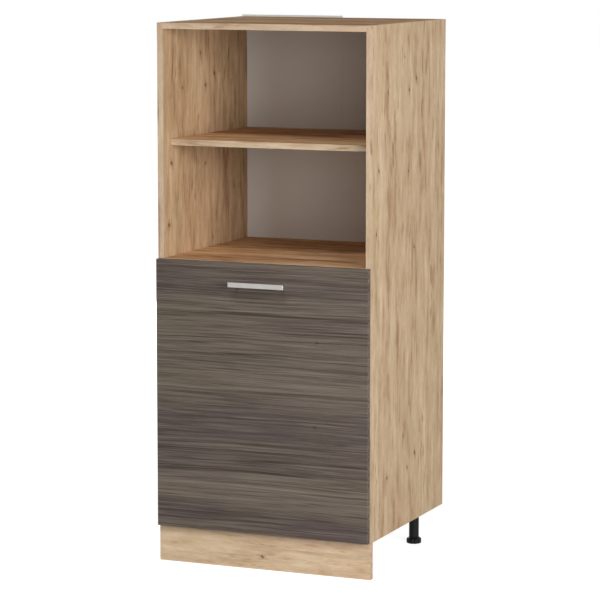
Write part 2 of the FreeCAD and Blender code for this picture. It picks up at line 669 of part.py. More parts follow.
def hinge_plates():
    """Winged plate with a raised rail, screwed to the side."""
    body = new_body("one_hinge_plate")
    front = "plate_setback - plate_wide / 2"
    rear = "plate_setback + plate_wide / 2"
    high = "plate_tall / 2"
    wing = [(front, f"-{high}"), (rear, f"-{high}"), (rear, high), (front, high)]
    pad_outline(body, "YZ_Plane", wing, "plate_thick")
    half = "rail_wide / 2"
    rail = [("rail_front", f"-{half}"), ("rail_rear", f"-{half}"),
            ("rail_rear", half), ("rail_front", half)]
    pad_outline(body, "YZ_Plane", rail, "rail_out")
    screws = [("plate_setback", f"{sign}plate_screws / 2") for sign in ("", "-")]
    drill(body, "YZ_Plane", screws, "screw_hole", "plate_thick", flip=True)
    arm_screw = [("arm_screw_setback", "0")]
    drill(body, "YZ_Plane", arm_screw, "arm_screw_radius + fit_play", "rail_out", flip=True)
    return in_hinges("hinge_plates", body)


def hinge_arms():
    """Arm over the rail, ending in two ears that hold the arm pin."""
    body = new_body("one_hinge_arm")
    arm_top = "rail_out + arm_thick"
    outline = [
        ("rail_out", "rail_rear"), (arm_top, "rail_rear"), (arm_top, "rail_front"),
        ("arm_pin_out + eye_radius", "arm_pin_back"), ("arm_pin_out - eye_radius", "arm_pin_back"),
        ("rail_out", "rail_front - arm_thick"),
    ]
    pad_outline(body, "XY_Plane", outline, "2 * ear_far", lift="-ear_far")
    pin = ("arm_pin_out", "arm_pin_back")
    pad_circle(body, "XY_Plane", pin, "eye_radius", "2 * ear_far", lift="-ear_far")
    drill(body, "XY_Plane", [pin], "hinge_pin_radius + fit_play", "2 * ear_far", lift="ear_far")
    drill(body, "XY_Plane", [pin], "eye_radius + eye_clear", "2 * ear_near", lift="ear_near")
    arm_screw = [("arm_screw_setback", "0")]
    drill(body, "YZ_Plane", arm_screw, "arm_screw_radius + fit_play", "arm_thick", lift=arm_top)
    return in_hinges("hinge_arms", body)


def arm_screws():
    screw = turned("one_arm_screw", [
        ("0", "screw_head_tall"), ("screw_head_radius", "screw_head_tall"), ("screw_head_radius", "0"),
        ("arm_screw_radius", "0"), ("arm_screw_radius", "-arm_screw_length"), ("0", "-arm_screw_length"),
    ])
    out = f"{LEFT_FACE} + rail_out + arm_thick"
    spots = [(out, "front + arm_screw_setback", z, Z_TO_X) for z in HINGE_HEIGHTS]
    return copies("hinge_arm_screws", crossed(screw, "screw_head_tall"), spots)


def hinge_pins(label, x, y):
    body = new_body("one_hinge_pin")
    pad_circle(body, "XY_Plane", (x, y), "hinge_pin_radius", "2 * ear_far", lift="-ear_far")
    return in_hinges(label, body)


def hinge_links():
    """Bowed link between the arm pin and the cup pin."""
    low = "-link_tall / 2"
    centre = ("-link_chord / 2", "link_bend - link_bow")
    rings = []
    for radius in ("link_bend + link_thick / 2", "link_bend - link_thick / 2"):
        ring = cylinder(radius, "link_tall", *centre, low, TURN_ABOUT_Z)
        bind(ring, "Angle", "2 * asin(link_chord / (2 * link_bend))")
        bind(ring, "Placement.Rotation.Angle", "270 deg - asin(link_chord / (2 * link_bend))")
        rings.append(ring)
    band = cut(*rings)
    ends = ("0", "-link_chord")
    eyes = [cylinder("eye_radius", "link_tall", x, "0", low) for x in ends]
    holes = [cylinder("hinge_pin_radius + fit_play", "link_tall", x, "0", low) for x in ends]
    link = cut(fuse(band, *eyes), *holes)
    pin_x = f"{LEFT_FACE} + arm_pin_out"
    spots = [(pin_x, "front + arm_pin_back", z, TURN_ABOUT_Z) for z in HINGE_HEIGHTS]
    node = copies("hinge_links", link, spots)
    for item in node.Links:
        bind(item, "Placement.Rotation.Angle", "atan2(link_dy; link_dx)")
    return node


def hinge_cups():
    """Cup let into the door, with screwed wings and two lugs that hold the cup pin."""
    deep = "cup_depth"
    back = "-door_gap"
    outside = cylinder("cup_radius", deep, "cup_x", back, "0", Z_TO_MINUS_Y)
    wings = box("wing_wide", "cup_wall", "wing_tall", "cup_x - wing_wide / 2", back, "-wing_tall / 2")
    face = f"{back} + cup_wall"
    hollow = cylinder("cup_radius - cup_wall", deep, "cup_x", face, "0", Z_TO_MINUS_Y)
    screw_zs = ("wing_screws / 2", "-wing_screws / 2")
    screw_holes = [cylinder("screw_hole", "cup_wall", "cup_x", face, z, Z_TO_MINUS_Y) for z in screw_zs]
    shell = cut(fuse(outside, wings), hollow, *screw_holes)
    lug_tall = "cup_depth - cup_pin_depth + eye_radius"
    lugs = [box("2 * eye_radius", lug_tall, "ear_thick", "cup_pin_x - eye_radius", f"{back} - {deep}", z)
            for z in ("ear_near", "-ear_far")]
    pin_hole = cylinder("hinge_pin_radius + fit_play", "2 * ear_far", "cup_pin_x", "cup_pin_y", "-ear_far")
    return in_hinges("hinge_cups", cut(fuse(shell, *lugs), pin_hole))


def door():
    """Door board with cup bores and screw holes, and its edging all round."""
    body = new_body("door_panel")
    wide = "door_width - 2 * edge_band"
    tall = "door_height - 2 * edge_band"
    pad_outline(body, "XZ_Plane", box_outline(wide, tall), "door_thickness")
    heights = [f"{z} - door_bottom - edge_band" for z in HINGE_HEIGHTS]
    cups = [("cup_inset - edge_band", z) for z in heights]
    drill(body, "XZ_Plane", cups, "cup_radius + cup_play", "cup_depth + cup_play", flip=True)
    screws = [("cup_inset - edge_band", f"{z} {sign} wing_screws / 2") for z in heights for sign in "+-"]
    drill(body, "XZ_Plane", screws, "screw_hole", "screw_length - cup_wall + tip_play", flip=True)
    level = "handle_z - door_bottom - edge_band"
    screws = [(f"({wide}) / 2 {sign} handle_spacing / 2", level) for sign in "+-"]
    drill(body, "XZ_Plane", screws, "handle_screw_radius + fit_play", "door_thickness", flip=True)
    place(body, "door_left + edge_band", "door_back", "door_bottom + edge_band")
    keep(body, "door_panel")
    strips = [box("door_width", "door_thickness", "edge_band", "door_left", "door_front", z)
              for z in ("door_bottom", "door_top - edge_band")]
    strips += [box("edge_band", "door_thickness", tall, x, "door_front", "door_bottom + edge_band")
               for x in ("door_left", "-door_left - edge_band")]
    return group("door_edging", strips)


def handle():
    """Flat bar on two posts, screwed through the door."""
    bar = new_body("handle_bar")
    end = "handle_length / 2"
    edge = "handle_tall / 2"
    outline = [(f"-{end}", f"-{edge}"), (end, f"-{edge}"), (end, edge), (f"-{end}", edge)]
    block = pad_outline(bar, "XZ_Plane", outline, "handle_deep")
    doc.recompute()
    rounding = bar.newObject("PartDesign::Fillet", "rounding")
    rounding.Base = (block, [f"Edge{i + 1}" for i in range(len(block.Shape.Edges))])
    bind(rounding, "Radius", "handle_round")
    place(bar, "0", "door_front - handle_reach + handle_deep", "handle_z")
    keep(bar, "handle_bar")
    hole = "handle_screw_radius + fit_play"
    post = turned("one_post", [
        (hole, "0"), ("post_radius", "0"), ("post_radius", "handle_reach - handle_deep"),
        ("0", "handle_reach - handle_deep"), ("0", "handle_screw_grip + tip_play"),
        (hole, "handle_screw_grip + tip_play"),
    ])
    ends = ["handle_spacing / 2", "-handle_spacing / 2"]
    copies("handle_posts", post, [(x, "door_front", "handle_z", Z_TO_MINUS_Y) for x in ends])
    length = "door_thickness + handle_screw_grip"
    screw = turned("one_handle_screw", [
        ("0", "handle_head_tall"), ("handle_crown_radius", "handle_head_tall"),
        ("handle_head_radius", "handle_head_rim"), ("handle_head_radius", "0"),
        ("handle_screw_radius", "0"), ("handle_screw_radius", f"-({length})"), ("0", f"-({length})"),
    ])
    spots = [(x, "door_back", "handle_z", Z_TO_Y) for x in ends]
    return copies("handle_screws", crossed(screw, "handle_head_tall"), spots)


def door_bumpers():
    bumper = turned("one_bumper", [
        ("0", "0"), ("bumper_radius", "0"), ("bumper_radius", "bumper_rim"),
        ("bumper_crown_radius", "bumper_thick"), ("0", "bumper_thick"),
    ])
    spots = [("-door_left - bumper_inset", "door_back", z, Z_TO_Y)
             for z in ("door_bottom + bumper_end", "door_top - bumper_end")]
    return copies("door_bumpers", bumper, spots)


def leg_sockets():
    """Flanged sleeves under the bottom panel, open below for the leg tubes."""
    bore = "tube_radius + fit_play"
    mouth = "-socket_flange - sleeve_length"
    socket = turned("one_socket", [
        ("0", "0"), ("socket_radius", "0"), ("socket_radius", "-socket_flange"),
        ("sleeve_radius", "-socket_flange"), ("sleeve_radius", mouth), (bore, mouth),
        (bore, "-socket_flange"), ("0", "-socket_flange"),
    ])
    reach = "socket_screws / sqrt(2)"
    screws = [(f"{a} * {reach}", f"{b} * {reach}") for a, b in SOCKET_SCREW_TURNS]
    drill(socket, "XY_Plane", screws, "screw_hole", "socket_flange")
    return copies("leg_sockets", socket, [(x, y, "leg_height") for x, y in LEG_SPOTS.values()])


def leg_tubes():
    bore = "stem_radius + fit_play"
    top = "leg_height - socket_flange"
    tube = turned("one_tube", [
        (bore, "tube_bottom"), ("tube_radius", "tube_bottom"), ("tube_radius", top), ("0", top),
        ("0", "stem_top + stem_room"), (bore, "stem_top + stem_room"),
    ])
    return copies("leg_tubes", tube, [(x, y, "0") for x, y in LEG_SPOTS.values()])


def foot(label, x, y):
    """Adjustable foot: scalloped rim, sloping shoulder and a stem that runs up into the tube."""
    body = turned(label, [
        ("0", "0"), ("foot_radius - foot_edge", "0"), ("foot_radius", "foot_edge"),
        ("foot_radius", "foot_tall - foot_round"), ("foot_radius - foot_round", "foot_tall"),
        ("shoulder_radius", "foot_shoulder"),
        ("stem_radius", "foot_shoulder"), ("stem_radius", "stem_top"), ("0", "stem_top"),
    ])
    doc.recompute()
    spot = [("scallop_centre", "0")]
    scallop = drill(body, "XY_Plane", spot, "scallop_radius", "foot_shoulder", flip=True)
    ring = body.newObject("PartDesign::PolarPattern", "scallops")
    ring.Originals = [scallop]
    ring.Axis = (next(f for f in body.Origin.OriginFeatures if f.Role == "Z_Axis"), [""])
    ring.Angle = 360
    ring.Occurrences = SCALLOPS
    body.Tip = ring
    place(body, x, y, "0")
    return keep(body, label)


def plinth():
    """Plinth board held on the front leg tubes by two forked clips."""
    body = new_body("plinth_board")
    outline = box_outline("cabinet_width", "plinth_tall")
    pad_outline(body, "XZ_Plane", outline, "plinth_thickness", flip=True)
    leg_xs = [x for spot, (x, y) in LEG_SPOTS.items() if spot.startswith("front")]
    screw_zs = [f"clip_middle {sign} clip_screws / 2" for sign in "+-"]
    holes = [(f"{x} + cabinet_width / 2", f"{z} - plinth_floor_gap") for x in leg_xs for z in screw_zs]
    drill(body, "XZ_Plane", holes, "screw_hole", "screw_length - clip_base_thick + tip_play",
          lift="-plinth_thickness", flip=True)
    place(body, "-cabinet_width / 2", "front", "plinth_floor_gap")
    keep(body, "plinth_board")
    base = box("clip_base_wide", "clip_base_thick", "clip_base_tall", "-clip_base_wide / 2",
               z="-clip_base_tall / 2")
    bore = "tube_radius + clip_play"
    stem = box("clip_stem", f"clip_reach - {bore}", "clip_tall", "-clip_stem / 2", "0", "-clip_tall / 2")
    fork = box("clip_wide", f"{bore} + clip_wall", "clip_tall", "-clip_wide / 2",
               f"clip_reach - {bore} - clip_wall", "-clip_tall / 2")
    tube = cylinder(bore, "clip_tall", "0", "clip_reach", "-clip_tall / 2")
    thick = "clip_base_thick"
    hole_zs = ("clip_screws / 2", "-clip_screws / 2")
    screw_holes = [cylinder("screw_hole", thick, "0", thick, z, Z_TO_MINUS_Y) for z in hole_zs]
    clip = cut(fuse(base, stem, fork), tube, *screw_holes)
    copies("plinth_clips", clip, [(x, "front + plinth_thickness", "clip_middle") for x in leg_xs])
    return [(x, "front + plinth_thickness + clip_base_thick", z, Z_TO_Y) for x in leg_xs for z in screw_zs]


def build():
    side_panel("side_panel_left", True)
    side_panel("side_panel_right", False)
    for label, under, above in FIXED_BOARDS:
        fixed_board(label, under, above)
    carcass_edging()
    back_half("back_panel_left", True)
    back_half("back_panel_right", False)
    back_joint_strip()
    back_nails()
    cam_locks()
    cam_bolts()
    dowels()
    for label, under, setback in SHELVES:
        shelf(label, under, setback)
        shelf_pins(label, under, setback)
    hinge_plates()
    hinge_arms()
    arm_screws()
    hinge_pins("hinge_arm_pins", "arm_pin_out", "arm_pin_back")
    hinge_links()
    hinge_cups()
    hinge_pins("hinge_cup_pins", "cup_pin_x", "cup_pin_y")
    door()
    handle()
    door_bumpers()
    leg_sockets()
    leg_tubes()
    for spot, (x, y) in LEG_SPOTS.items():
        foot("foot_" + spot, x, y)
    clip_screws = plinth()
    screw = wood_screw()
    out = f"{LEFT_FACE} + plate_thick"
    plate_zs = [f"{z} {sign} plate_screws / 2" for z in HINGE_HEIGHTS for sign in "+-"]
    copies("hinge_plate_screws", screw, [(out, "front + plate_setback", z, Z_TO_X) for z in plate_zs])
    cup_middle = f"{LEFT_FACE} + cup_x"
    cup_zs = [f"{z} {sign} wing_screws / 2" for z in HINGE_HEIGHTS for sign in "+-"]
    copies("hinge_cup_screws", screw, [(cup_middle, "door_back + cup_wall", z, Z_TO_Y) for z in cup_zs])
    under = "leg_height - socket_flange"
    copies("leg_socket_screws", screw, [(x, y, under, TURN_ABOUT_X) for x, y in socket_screw_spots()])
    copies("plinth_clip_screws", screw, clip_screws)
    doc.recompute()


def check():
    """Stops if anything failed to build, or if a hole cut little or nothing."""
    for item in doc.Objects:
        if "Invalid" in item.State or "Error" in item.State:
            raise RuntimeError(f"{item.Name} ({item.Label}) failed: {item.State}")
    for node in nodes:
        if node.Shape.isNull() or not node.Shape.isValid():
            raise RuntimeError(f"{node.Label} has no valid shape")
    for pocket in drillings:
        circles = pocket.Profile[0].Geometry
        drilled = sum(math.pi * circle.Radius ** 2 for circle in circles) * pocket.Length.Value
        removed = pocket.BaseFeature.Shape.Volume - pocket.Shape.Volume
        if removed < LEAST_CUT * drilled:
            where = f"{pocket.Name} in {pocket.getParent().Label}"
            raise RuntimeError(f"{where} cuts {removed:.1f} of {drilled:.1f} mm3")


def write():
    os.makedirs("parts", exist_ok=True)
    for node in nodes:
        node.Shape.exportStep(os.path.join("parts", node.Label + ".step"))
        print(f"{node.Label}: {len(node.Shape.Solids)} solids, {node.Shape.Volume:.0f} mm3")


build()
check()
write()
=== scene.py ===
"""Looks of the oven housing cabinet: oak decor, a striped door, plated fittings and black legs."""
import math
from functools import reduce

import bmesh
import bpy
from mathutils import Matrix, Vector


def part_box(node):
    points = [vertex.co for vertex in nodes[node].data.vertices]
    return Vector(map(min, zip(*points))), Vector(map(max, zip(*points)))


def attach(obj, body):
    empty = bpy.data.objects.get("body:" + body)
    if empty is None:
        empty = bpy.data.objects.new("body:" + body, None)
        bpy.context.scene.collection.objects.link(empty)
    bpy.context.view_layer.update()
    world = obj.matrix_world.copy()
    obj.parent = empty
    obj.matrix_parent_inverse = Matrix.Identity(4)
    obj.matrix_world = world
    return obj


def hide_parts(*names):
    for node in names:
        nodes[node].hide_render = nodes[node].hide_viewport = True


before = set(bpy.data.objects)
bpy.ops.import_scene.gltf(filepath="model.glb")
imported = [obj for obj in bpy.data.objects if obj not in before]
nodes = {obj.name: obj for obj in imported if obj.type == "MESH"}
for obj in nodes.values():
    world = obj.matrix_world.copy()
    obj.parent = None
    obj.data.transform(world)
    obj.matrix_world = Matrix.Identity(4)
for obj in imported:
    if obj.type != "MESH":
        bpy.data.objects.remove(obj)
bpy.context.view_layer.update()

WHITE = (1.0, 1.0, 1.0, 1.0)
NOISE_MIDDLE = 0.5


def tint(red, green, blue):
    """A colour as it is seen on a screen, turned into the shader's own values."""
    def straight(part):
        part = part / 255
        return part / 12.92 if part <= 0.04045 else ((part + 0.055) / 1.055) ** 2.4
    return (straight(red), straight(green), straight(blue), 1.0)


class Shade:
    """A socket in a node tree; arithmetic on it adds Math nodes."""

    def __init__(self, tree, socket=None):
        self.tree = tree
        self.socket = socket

    def node(self, kind, settings=None, sockets=None, output=0):
        """Adds a node: its type, its settings, then the values or links of its sockets."""
        made = self.tree.nodes.new(kind)
        for name, value in (settings or {}).items():
            if name == "stops":
                self.set_stops(made.color_ramp.elements, value)
            else:
                setattr(made, name, value)
        for name, value in (sockets or {}).items():
            if isinstance(value, Shade):
                self.tree.links.new(value.socket, made.inputs[name])
            else:
                made.inputs[name].default_value = value
        return Shade(self.tree, made.outputs[output] if made.outputs else None)

    def set_stops(self, elements, stops):
        """Gives a ramp its places and colours."""
        while len(elements) < len(stops):
            elements.new(1.0)
        for element, (place, colour) in zip(elements, stops):
            element.position = place
            element.color = colour

    def out(self, name):
        """Another output of the same node."""
        return Shade(self.tree, self.socket.node.outputs[name])

    def maths(self, operation, *values):
        """A Math node on one or two values."""
        return self.node("ShaderNodeMath", {"operation": operation}, dict(enumerate(values)))

    def __add__(self, other):
        return self.maths("ADD", self, other)

    __radd__ = __add__

    def __mul__(self, other):
        return self.maths("MULTIPLY", self, other)

    __rmul__ = __mul__

    def __sub__(self, other):
        return self.maths("SUBTRACT", self, other)

    def __rsub__(self, other):
        return self.maths("SUBTRACT", other, self)

    def __abs__(self):
        return self.maths("ABSOLUTE", self)

    def most(self, other):
        """The greater of two values."""
        return self.maths("MAXIMUM", self, other)

    def step(self, low, high):
        """Rises smoothly from 0 at low to 1 at high."""
        settings = {"interpolation_type": "SMOOTHSTEP"}
        sockets = {"Value": self, "From Min": low, "From Max": high}
        return self.node("ShaderNodeMapRange", settings, sockets)

    def span(self, low, high):
        """Low where this value is 0, high where it is 1."""
        return self * (high - low) + low

    def split(self):
        """The X, Y and Z of this vector."""
        parts = self.node("ShaderNodeSeparateXYZ", None, {0: self})
        return parts.out("X"), parts.out("Y"), parts.out("Z")

    def vector(self, x, y, z):
        """A vector of three values."""
        return self.node("ShaderNodeCombineXYZ", None, {0: x, 1: y, 2: z})

    def stretched(self, factors):
        """This vector, multiplied along each axis."""
        return self.node("ShaderNodeVectorMath", {"operation": "MULTIPLY"}, {0: self, 1: factors})

    def noise(self, features, detail, roughness):
        """Noise with its own number of features per metre along each axis."""
        sockets = {"Vector": self.stretched(features), "Scale": 1.0}
        sockets.update({"Detail": detail, "Roughness": roughness})
        return self.node("ShaderNodeTexNoise", None, sockets)

    def swing(self, features, detail, roughness):
        """Noise about 0."""
        return self.noise(features, detail, roughness) - NOISE_MIDDLE

    def ramp(self, stops):
        """A colour by this value."""
        return self.node("ShaderNodeValToRGB", {"stops": stops}, {0: self})

    def blend(self, first, second):
        """Mixes two colours by this value."""
        settings = {"data_type": "RGBA", "clamp_factor": True}
        return self.node("ShaderNodeMix", settings, {0: self, 6: first, 7: second}, 2)

    def times(self, colour):
        """This colour, multiplied by another."""
        settings = {"data_type": "RGBA", "blend_type": "MULTIPLY"}
        return self.node("ShaderNodeMix", settings, {0: 1.0, 6: self, 7: colour}, 2)

    def darkened(self, amount):
        """This colour, multiplied by a value that changes over the surface."""
        grey = self.node("ShaderNodeCombineColor", None, {0: amount, 1: amount, 2: amount})
        return self.times(grey)


def emptied(owner):
    """The node tree of a material or a world, with nothing in it."""
    owner.use_nodes = True
    owner.node_tree.nodes.clear()
    return Shade(owner.node_tree)


def start(name):
    """An empty material and the place on the part, in metres."""
    material = bpy.data.materials.new(name)
    place = emptied(material).node("ShaderNodeTexCoord", None, None, "Object")
    return material, place


def finish(material, colour, roughness, height, depth, constants=None):
    """Ends a material in one Principled shader, with a bump of the given depth in metres."""
    paint = Shade(material.node_tree)
    relief = {"Height": height, "Strength": 1.0, "Distance": depth}
    bump = paint.node("ShaderNodeBump", None, relief)
    sockets = {"Base Color": colour, "Roughness": roughness, "Normal": bump}
    sockets.update(constants or {})
    shader = paint.node("ShaderNodeBsdfPrincipled", None, sockets)
    paint.node("ShaderNodeOutputMaterial", None, {"Surface": shader})
    return material


# Laminate and plastic reflect little
SATIN = {"Specular IOR Level": 0.03}
MATT = {"Specular IOR Level": 0.14}

# Every noise below has its features per metre along three axes, its detail and its roughness.
# A step has the values where it starts and ends, a span what it gives at 0 and at 1.

# Shapes that the wood decors share
LINE_DETAIL = 1.0
LINE_ROUGHNESS = 0.5
LINE_STEP = (0.1, 1.0)
SPOT_STEP = (0.15, 1.0)


def thin_lines(grain, features, sharpness):
    """1 along the level lines of a stretched noise, 0 away from them."""
    away = grain.swing(features, LINE_DETAIL, LINE_ROUGHNESS)
    return (1.0 - abs(away) * sharpness).step(*LINE_STEP)


def spot(flat, middle, long, wide):
    """1 in the middle of an ellipse, falling to 0 at its edge."""
    scaled = flat.stretched((1 / long, 1 / wide, 0.0))
    centre = (middle[0] / long, middle[1] / wide, 0.0)
    settings = {"operation": "DISTANCE"}
    far = flat.node("ShaderNodeVectorMath", settings, {0: scaled, 1: centre}, "Value")
    return 1.0 - far.step(*SPOT_STEP)


def greatest(values):
    """The greatest of several values."""
    return reduce(Shade.most, values)


# Raw chipboard
CHIPBOARD = [
    (0.34, tint(104, 76, 48)),
    (0.46, tint(160, 126, 86)),
    (0.54, tint(184, 152, 110)),
    (0.66, tint(210, 184, 146)),
]
CHIP_FLAKES = ((260.0, 260.0, 700.0), 3.0, 0.7)
CHIP_DUST = ((1500.0, 1500.0, 1500.0), 2.0, 0.6)
FLAKE_SHARE = 0.8
DUST_SHARE = 0.2
DUST_SHADE = (0.85, 1.15)


def chips(place):
    """Raw chipboard at a sawn edge: coarse chips with dark gaps."""
    flakes = place.noise(*CHIP_FLAKES)
    dust = place.noise(*CHIP_DUST)
    colour = (flakes * FLAKE_SHARE + dust * DUST_SHARE).ramp(CHIPBOARD)
    return colour.darkened(dust.span(*DUST_SHADE))


# Oak decor, from its dark to its light tones
OAK_SIDE = [
    (0.37, tint(168, 138, 107)),
    (0.46, tint(196, 169, 138)),
    (0.54, tint(206, 181, 151)),
    (0.63, tint(219, 195, 166)),
]
OAK_EDGE = [
    (0.36, tint(164, 139, 114)),
    (0.46, tint(190, 167, 141)),
    (0.54, tint(199, 177, 151)),
    (0.64, tint(209, 188, 163)),
]
# A darker, redder copy of the oak for the level boards: painted shade and warm bounce light of the
# niches
OAK_BOARD_PAINTED_SHADE = [
    (0.36, tint(148, 108, 74)),
    (0.46, tint(188, 147, 109)),
    (0.54, tint(202, 163, 124)),
    (0.64, tint(216, 181, 144)),
]
# A darker copy of the oak for the top panel: painted shade for its upward face, which gets little
# light from above
OAK_TOP_PAINTED_SHADE = [
    (0.36, tint(134, 99, 66)),
    (0.46, tint(161, 126, 91)),
    (0.54, tint(173, 139, 103)),
    (0.64, tint(187, 156, 121)),
]
OAK_PLINTH = [
    (0.36, tint(180, 149, 119)),
    (0.46, tint(205, 177, 147)),
    (0.54, tint(215, 189, 160)),
    (0.64, tint(225, 202, 175)),
]
OAK_CHECK = tint(132, 95, 62)
OAK_KNOT = tint(104, 75, 51)
# What the tone is multiplied by: rosy and straw tints that change at random, and a warm tint that
# darkens the inner faces of the sides as painted shade
ROSY = (1.02, 0.985, 0.97, 1.0)
STRAW = (0.99, 0.995, 0.95, 1.0)
INNER_PAINTED_SHADE_TINT = (0.87, 0.80, 0.73, 1.0)

# Knots of the sides: behind the middle of the part, above the floor, scale, lean
SIDE_KNOTS = [
    (0.075, 1.276, 1.15, 0.35),
    (0.017, 1.247, 0.95, 0.2),
    (-0.130, 1.247, 0.75, 0.0),
    (-0.014, 1.335, 0.6, 0.1),
    (-0.196, 1.053, 1.0, 0.3),
    (0.016, 1.036, 0.7, -0.2),
    (-0.211, 0.892, 0.85, 0.0),
    (0.061, 0.832, 0.6, 0.25),
    (0.075, 0.279, 1.15, 0.35),
    (0.018, 0.249, 0.95, 0.2),
    (-0.129, 0.247, 0.75, 0.0),
    (-0.014, 0.338, 0.6, 0.1),
]
# Knots of the plinth: above the floor, to the right of the middle, scale, lean
PLINTH_KNOTS = [(0.037, -0.004, 0.8, 0.3)]
KNOT_LONG = 0.0085
KNOT_WIDE = 0.0085
KNOT_RAGGED = 0.02
KNOT_STRENGTH = 0.8
PLUME_LONG = 0.030
PLUME_WIDE = 0.010
PLUME_START = 0.1
PLUME_STRENGTH = 0.6

# Oak noises: along the grain, across it and through the board
OAK_SWAY = ((2.6, 10.0, 10.0), 2.0, 0.5)
OAK_FIGURE = ((4.4, 36.0, 36.0), 4.0, 0.62)
OAK_MOTTLE = ((14.0, 46.0, 46.0), 3.0, 0.6)
OAK_BROAD = ((1.8, 13.0, 13.0), 2.0, 0.5)
OAK_HUE = ((1.4, 27.0, 27.0), 2.0, 0.5)
OAK_PORES = ((60.0, 460.0, 460.0), 2.0, 0.6)
OAK_CLUSTER = ((2.8, 13.0, 13.0), 1.0, 0.5)
OAK_FLECKS = ((13.0, 100.0, 100.0), 2.5, 0.6)
OAK_VEINS = ((5.0, 75.0, 75.0), 2.0, 0.5)
# Thin lines: features per metre, sharpness
OAK_SWIRLS = ((1.7, 30.0, 34.0), 26.0)
HUE_STEP = (0.4, 0.6)
CLUSTER_STEP = (0.45, 0.63)
FLECK_STEP = (0.56, 0.69)
VEIN_STEP = (0.63, 0.76)
UPWARD_STEP = (0.3, 0.8)
OUTWARD_STEP = (-0.2, -0.1)
SAWN_STEP = (0.6, 0.8)
PORE_SHADE = (0.83, 1.17)
# Painted shade on the inner faces of the sides, deeper where the figure is darker
INNER_PAINTED_SHADE_SPAN = (0.75, 1.25)
OAK_ROUGHNESS = (0.6, 0.76)
SWAY_REACH = 0.014
GRAIN_SLOPE = 0.006
FIGURE_SHARE = 0.46
MOTTLE_SHARE = 0.32
TONE_START = 0.11
VEIN_SHARE = 0.7
PORE_DEPTH = 0.00012

# What a piece of oak has unless it asks for something else
PLAIN_OAK = {
    "knots": (),
    "level_stops": None,
    "flecked": 0.7,
    "swirl": 0.0,
    "banded": 0.34,
    "inner": False,
    "raw": False,
}


def knotted(length, beside, knots):
    """The dark cores of knots and the long plumes round them."""
    cores = []
    plumes = []
    for off_middle, far_along, scale, lean in knots:
        leaning = beside + (length - far_along) * lean
        flat = length.vector(length, leaning, 0.0)
        middle = (far_along, off_middle)
        cores.append(spot(flat, middle, KNOT_LONG * scale, KNOT_WIDE * scale))
        plumes.append(spot(flat, middle, PLUME_LONG * scale, PLUME_WIDE * scale))
    return greatest(cores), greatest(plumes)


def oak(name, along, stops, **changes):
    """Oak decor with its grain along Z or X: soft figure, fine pores, short checks and small knots; it
    can also paint shade on the inner faces of the sides and on upward faces.
    """
    style = {**PLAIN_OAK, **changes}
    material, place = start(name)
    x, depth, z = place.split()
    length, thin = (z, x) if along == "Z" else (x, z)
    laid = place.vector(length, depth, thin)
    sway = laid.swing(*OAK_SWAY) * SWAY_REACH
    across = depth + sway
    through = thin + sway + length * GRAIN_SLOPE
    grain = place.vector(length, across, through)
    figure = grain.noise(*OAK_FIGURE)
    mottle = laid.noise(*OAK_MOTTLE)
    pores = grain.noise(*OAK_PORES)
    facing = place.out("Normal")

    broad = grain.swing(*OAK_BROAD) * style["banded"]
    tone = figure * FIGURE_SHARE + mottle * MOTTLE_SHARE + broad + TONE_START
    colour = tone.ramp(stops)
    # Painted shade: upward faces take the darker stops given here
    if style["level_stops"]:
        upward = facing.split()[2]
        colour = upward.step(*UPWARD_STEP).blend(colour, tone.ramp(style["level_stops"]))
    hue = grain.noise(*OAK_HUE).step(*HUE_STEP)
    colour = colour.times(hue.blend(ROSY, STRAW))

    cluster = grain.noise(*OAK_CLUSTER).step(*CLUSTER_STEP)
    flecks = grain.noise(*OAK_FLECKS).step(*FLECK_STEP) * cluster
    veins = grain.noise(*OAK_VEINS).step(*VEIN_STEP) * VEIN_SHARE
    colour = (flecks.most(veins) * style["flecked"]).blend(colour, OAK_CHECK)
    if style["swirl"]:
        swirls = thin_lines(grain, *OAK_SWIRLS) * cluster * style["swirl"]
        colour = swirls.blend(colour, OAK_CHECK)
    if style["knots"]:
        beside = across if along == "Z" else through
        ragged = beside + (mottle - NOISE_MIDDLE) * KNOT_RAGGED
        cores, plumes = knotted(length, ragged, style["knots"])
        colour = (plumes * (pores + PLUME_START) * PLUME_STRENGTH).blend(colour, OAK_CHECK)
        colour = (cores * KNOT_STRENGTH).blend(colour, OAK_KNOT)

    # Painted shade: the inner faces of the sides are warmed and darkened to stand in for the shade and
    # warm bounce light inside the cabinet
    if style["inner"]:
        outward = facing.split()[0] * x
        painted_shade = colour.times(INNER_PAINTED_SHADE_TINT).darkened(figure.span(*INNER_PAINTED_SHADE_SPAN))
        colour = outward.step(*OUTWARD_STEP).blend(painted_shade, colour)
    colour = colour.darkened(pores.span(*PORE_SHADE))
    if style["raw"]:
        sideways, rearward, _ = facing.split()
        sawn = (sideways * sideways).most(rearward).step(*SAWN_STEP)
        colour = sawn.blend(colour, chips(place))
    return finish(material, colour, pores.span(*OAK_ROUGHNESS), pores, PORE_DEPTH, SATIN)


# Striped decor of the door
STRIPE_GREY = tint(106, 96, 86)
STRIPE_ROSY = tint(95, 84, 81)
LIGHT_LINE = tint(136, 126, 115)
LONG_LINE = tint(58, 50, 45)
FINE_LINE = tint(62, 54, 49)
DOOR_MARK = tint(46, 39, 36)
# Small dark marks: to the right of the middle, above the floor
DOOR_MARKS = [(0.157, 0.613), (0.152, 0.392)]
MARK_LONG = 0.009
MARK_WIDE = 0.0042
MARK_STRENGTH = 0.55
